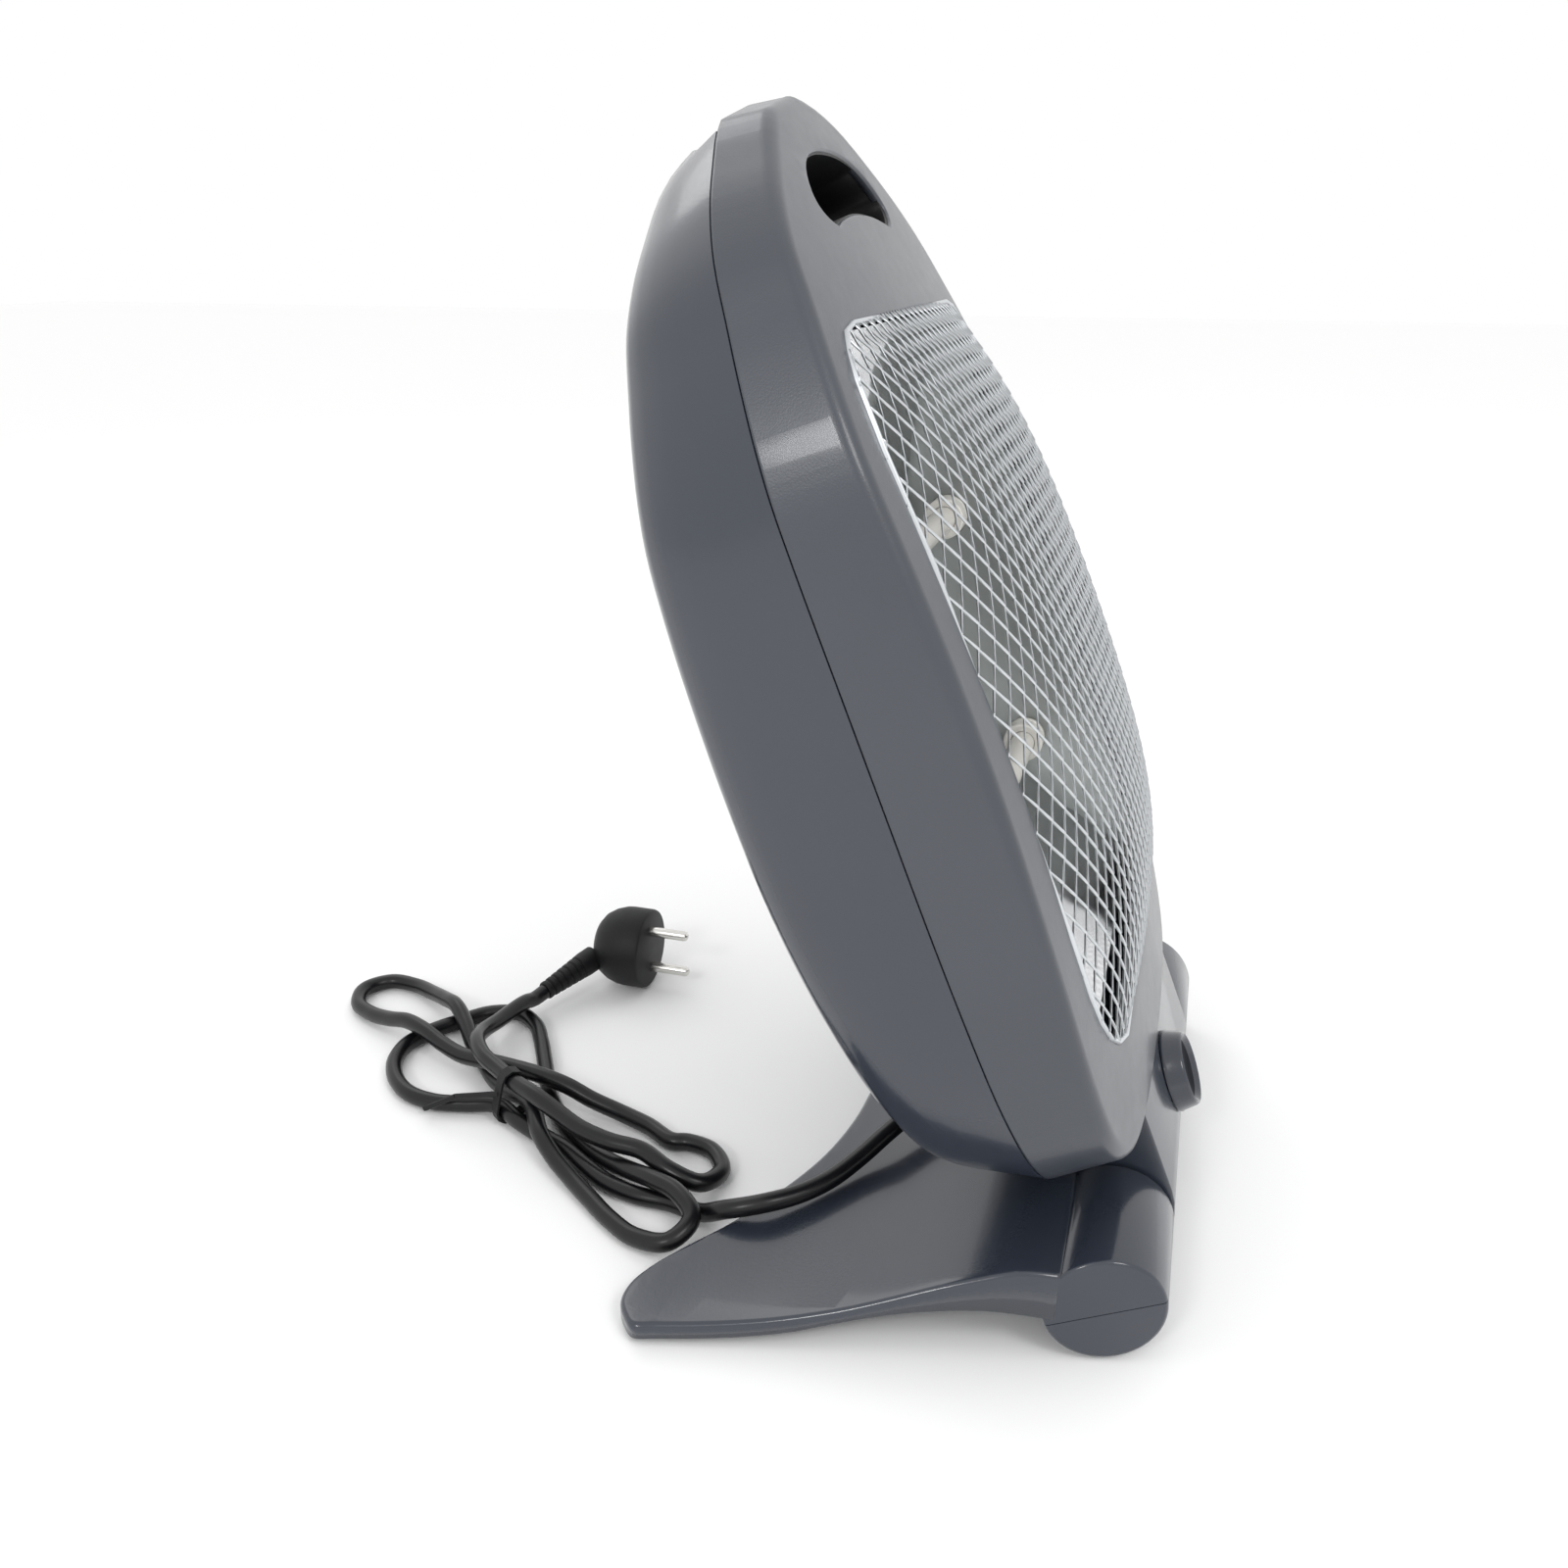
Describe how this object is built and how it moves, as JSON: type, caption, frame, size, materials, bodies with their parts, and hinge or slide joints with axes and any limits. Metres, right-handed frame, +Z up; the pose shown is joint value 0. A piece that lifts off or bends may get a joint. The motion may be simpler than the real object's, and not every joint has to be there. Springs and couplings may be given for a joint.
{
  "type": "parabolic heater",
  "caption": "Tilting quartz radiant heater with a curved reflector, a domed wire guard and a crescent foot.",
  "frame": {"origin": "centre of the bounding box of foot and head, on the floor", "axes": "+Z up, the face looks towards -Y, +X to the heater's left-hand side seen from behind the face"},
  "size_m": [0.301, 0.3851, 0.3787],
  "materials": {
    "slate_gloss": "glossy moulded plastic",
    "slate_satin": "satin moulded plastic",
    "black_plastic": "black moulded plastic",
    "cream_plastic": "heat-proof moulded plastic",
    "foot_rubber": "soft rubber",
    "washer": "friction material",
    "steel": "zinc-plated steel",
    "nickel": "nickel-plated brass",
    "guard_metal": "silver-coated expanded metal",
    "reflector_sheet": "bright rolled aluminium",
    "quartz": "milky quartz glass",
    "heating_wire": "resistance wire",
    "ceramic": "white glazed ceramic",
    "cord_black": "black flexible sheath"
  },
  "bodies": {
    "base": {"base_top_shell": "slate_gloss", "base_bottom_right": "slate_gloss", "base_bottom_left": "slate_gloss", "hinge_rod": "steel", "rod_nut_right": "steel", "rod_nut_left": "steel", "friction_washer_right": "washer", "friction_washer_left": "washer", "base_screw_right": "steel", "base_screw_left": "steel", "pad_rear_right": "foot_rubber", "pad_rear_left": "foot_rubber", "pad_front_right": "foot_rubber", "pad_front_left": "foot_rubber", "cord_run": "cord_black", "cord_hank": "cord_black", "cord_tie": "cord_black", "plug_relief": "cord_black", "plug_body": "cord_black", "plug_pin_upper": "nickel", "plug_pin_lower": "nickel"},
    "head": {"front_shell": "slate_satin", "rear_shell": "slate_gloss", "shell_screw_lower_right": "steel", "shell_screw_lower_left": "steel", "handle_liner": "black_plastic", "grille": "guard_metal", "reflector": "reflector_sheet", "end_plate_right": "reflector_sheet", "end_plate_left": "reflector_sheet", "tube_upper": "quartz", "coil_upper": "heating_wire", "cap_upper_right": "ceramic", "cap_upper_left": "ceramic", "tube_lower": "quartz", "coil_lower": "heating_wire", "cap_lower_right": "ceramic", "cap_lower_left": "ceramic", "rotary_switch": "cream_plastic", "thermal_cutout": "black_plastic", "terminal_block": "cream_plastic", "cord_gland": "black_plastic"},
    "knob": {"control_knob": "slate_gloss", "switch_shaft": "cream_plastic"}
  },
  "joints": [
    {"name": "head_tilt", "type": "hinge", "parent": "base", "child": "head", "pos_m": [0, -0.0749, 0.0204], "axis": [1, 0, 0], "range_deg": [0, 20]},
    {"name": "knob_turn", "type": "hinge", "parent": "head", "child": "knob", "pos_m": [0, -0.0886, 0.0411], "axis": [0, -0.9252, 0.3795], "range_deg": [-120, 0]}
  ]
}
